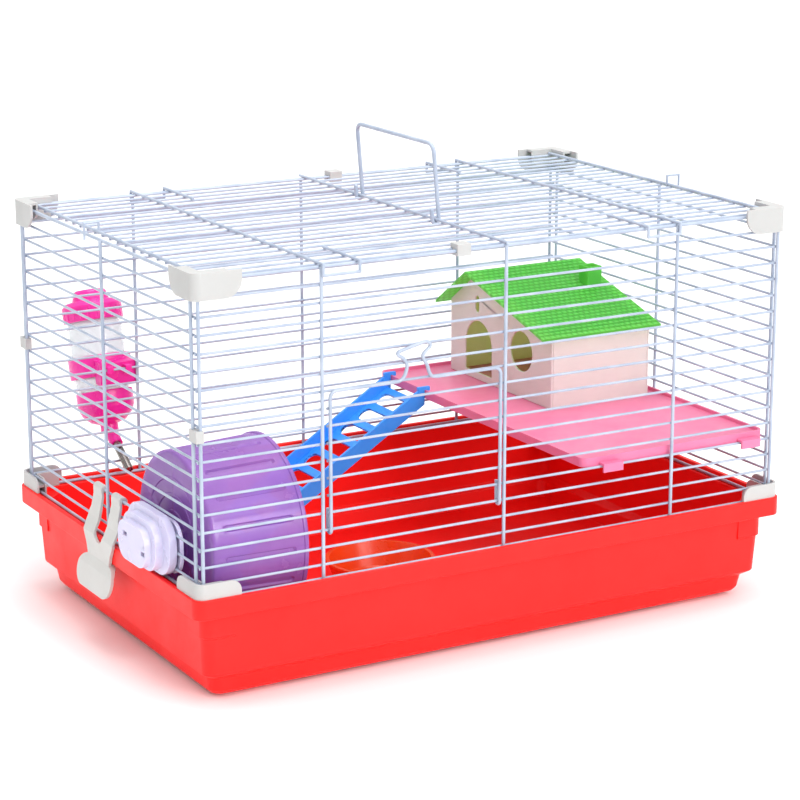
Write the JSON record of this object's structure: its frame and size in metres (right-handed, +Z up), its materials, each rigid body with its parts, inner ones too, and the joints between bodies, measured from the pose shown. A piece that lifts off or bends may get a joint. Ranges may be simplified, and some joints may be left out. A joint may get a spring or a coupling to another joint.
{
  "type": "hamster cage",
  "caption": "Wire cage for small animals on a red tray, with front door, folding handle, side latches, wheel, shelf with house, ladder, dish and drinking bottle.",
  "frame": {"origin": "middle of the tray footprint, on the plane of its feet", "axes": "+X along the length, -Y towards the side with the door, +Z up"},
  "size_m": [0.6021, 0.4564, 0.4228],
  "materials": {
    "tray_red": "moulded red polypropylene, satin gloss",
    "wire_white": "pale blue-white powder coat on steel wire",
    "corner_white": "white moulded plastic",
    "latch_white": "white moulded plastic",
    "wheel_purple": "translucent purple moulded plastic",
    "bracket_lilac": "pale lilac moulded plastic",
    "shelf_pink": "pink moulded plastic",
    "ladder_blue": "blue moulded plastic",
    "house_cream": "cream moulded plastic",
    "roof_green": "green moulded plastic with a pressed tile pattern",
    "dish_orange": "translucent orange moulded plastic",
    "bottle_clear": "clear moulded plastic",
    "bottle_pink": "pink moulded plastic",
    "tube_steel": "drawn stainless steel"
  },
  "bodies": {
    "cage": {"base_tray": "tray_red", "front_panel": "wire_white", "back_panel": "wire_white", "left_panel": "wire_white", "right_panel": "wire_white", "roof_panel": "wire_white", "top_corner_fl": "corner_white", "top_corner_fr": "corner_white", "top_corner_bl": "corner_white", "top_corner_br": "corner_white", "bottom_corner_fl": "corner_white", "bottom_corner_fr": "corner_white", "bottom_corner_bl": "corner_white", "bottom_corner_br": "corner_white", "corner_clips": "corner_white", "roof_clips": "corner_white", "wheel_axle": "bracket_lilac", "wheel_bracket": "bracket_lilac", "bracket_cover": "bracket_lilac", "shelf": "shelf_pink", "house_front": "house_cream", "house_back": "house_cream", "house_low_wall": "house_cream", "house_high_wall": "house_cream", "bottle_body": "bottle_clear", "bottle_holder": "bottle_pink", "bottle_nozzle": "bottle_pink", "drinking_tube": "tube_steel"},
    "front_door": {"front_door": "wire_white"},
    "handle": {"carry_handle": "wire_white"},
    "left_latch": {"left_latch": "latch_white"},
    "right_latch": {"right_latch": "latch_white"},
    "wheel": {"wheel_drum": "wheel_purple"},
    "ladder": {"ladder": "ladder_blue"},
    "roof": {"house_roof": "roof_green", "house_chimney": "roof_green"},
    "dish": {"food_dish": "dish_orange"},
    "cap": {"bottle_cap": "bottle_pink"},
    "ball": {"tube_ball": "tube_steel"}
  },
  "joints": [
    {"name": "door_hinge", "type": "hinge", "parent": "cage", "child": "front_door", "pos_m": [-0.0848, -0.1801, 0.13471], "axis": [1, 0, 0], "range_deg": [0, 150]},
    {"name": "handle_pivot", "type": "hinge", "parent": "cage", "child": "handle", "pos_m": [0, 0, 0.356], "axis": [0, 1, 0], "range_deg": [-80, 84]},
    {"name": "left_latch_hinge", "type": "hinge", "parent": "cage", "child": "left_latch", "pos_m": [-0.2801, 0, 0.13471], "axis": [0, 1, 0], "range_deg": [0, 60]},
    {"name": "right_latch_hinge", "type": "hinge", "parent": "cage", "child": "right_latch", "pos_m": [0.2801, 0, 0.13471], "axis": [0, -1, 0], "range_deg": [0, 60]},
    {"name": "wheel_spin", "type": "hinge", "parent": "cage", "child": "wheel", "pos_m": [-0.222, -0.095, 0.119], "axis": [1, 0, 0], "continuous": true},
    {"name": "ladder_swing", "type": "hinge", "parent": "cage", "child": "ladder", "pos_m": [0.0842, 0.124, 0.15796], "axis": [0, 1, 0], "range_deg": [0, 20]},
    {"name": "roof_lift", "type": "slide", "parent": "cage", "child": "roof", "axis": [0, 0, 1], "range_m": [0, 0.07]},
    {"name": "dish_lift", "type": "slide", "parent": "cage", "child": "dish", "axis": [0, 0, 1], "range_m": [0, 0.06]},
    {"name": "cap_turn", "type": "hinge", "parent": "cage", "child": "cap", "pos_m": [-0.192, 0.23906, 0.23883], "axis": [0, 0.3007, 0.9537], "range_deg": [0, 360]},
    {"name": "ball_slide", "type": "slide", "parent": "cage", "child": "ball", "axis": [0, 0.8387, 0.5446], "range_m": [0, 0.003]}
  ]
}
